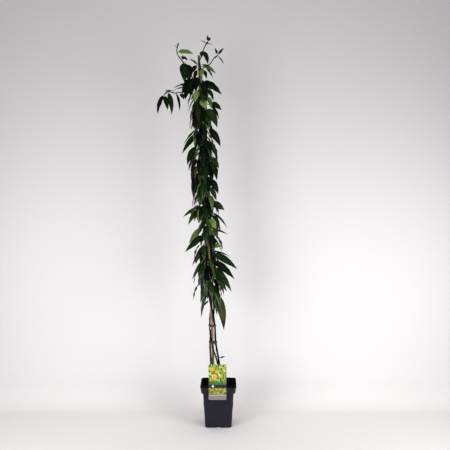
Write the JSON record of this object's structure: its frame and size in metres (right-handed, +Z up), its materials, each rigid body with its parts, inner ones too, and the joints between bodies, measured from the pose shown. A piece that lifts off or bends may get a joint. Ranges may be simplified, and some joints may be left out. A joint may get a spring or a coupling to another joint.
{
  "type": "potted climbing honeysuckle",
  "caption": "Young evergreen climbing honeysuckle with copper new growth, trained up a bamboo cane in a square nursery pot with a pictorial label.",
  "frame": {"origin": "centre of the pot's flat underside, on the surface that it stands on", "axes": "+Z up along the cane, -Y the front of the pot with the label, +X to the right seen from the front"},
  "size_m": [0.3317, 0.1462, 1.6012],
  "materials": {
    "pot_plastic": "moulded recycled polypropylene, dull with a faint sheen",
    "compost": "loose peat-free compost, matt",
    "bamboo": "dried bamboo, waxy",
    "label_card": "printed plastic card, gloss",
    "tie_cord": "soft twisted tie",
    "foliage": "firm evergreen leaves on woody stems, waxy above"
  },
  "bodies": {
    "root": {"pot": "pot_plastic", "soil": "compost", "cane": "bamboo", "label": "label_card", "tie_low": "tie_cord", "tie_middle": "tie_cord", "tie_upper": "tie_cord", "tie_top": "tie_cord", "leafy_stem_right": "foliage", "leafy_stem_back": "foliage", "leafy_stem_left": "foliage"}
  },
  "joints": []
}
